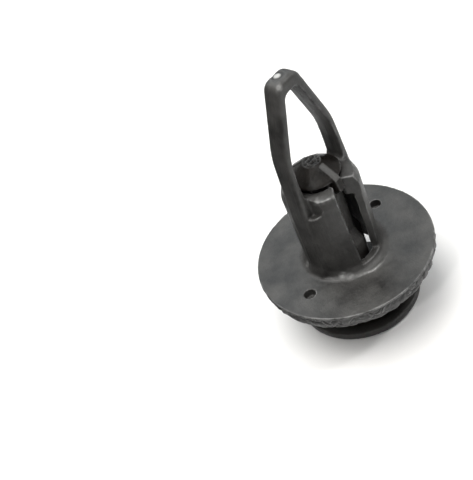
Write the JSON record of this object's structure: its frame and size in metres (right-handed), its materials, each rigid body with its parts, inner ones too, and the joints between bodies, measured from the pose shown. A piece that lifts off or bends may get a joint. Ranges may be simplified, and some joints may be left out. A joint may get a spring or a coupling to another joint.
{
  "type": "push rivet",
  "caption": "Plastic push rivet: a round flange with a split shank and a looped nose, locked by a cross-recessed plunger.",
  "frame": {"origin": "middle of the outer face of the plunger's head, on the rivet's axis, with the plunger pulled out", "axes": "+Z along the axis towards the nose; the nose's legs lie in the XZ plane and the shank's slots open along Y"},
  "size_m": [0.0181, 0.0182, 0.0286],
  "materials": {
    "body": "grained satin dark grey",
    "plunger": "grained satin dark grey"
  },
  "bodies": {
    "body": {"body": "body"},
    "plunger": {"plunger": "plunger"}
  },
  "joints": [
    {"name": "plunger_slide", "type": "slide", "parent": "body", "child": "plunger", "axis": [0, 0, 1], "range_m": [0, 0.00435]}
  ]
}
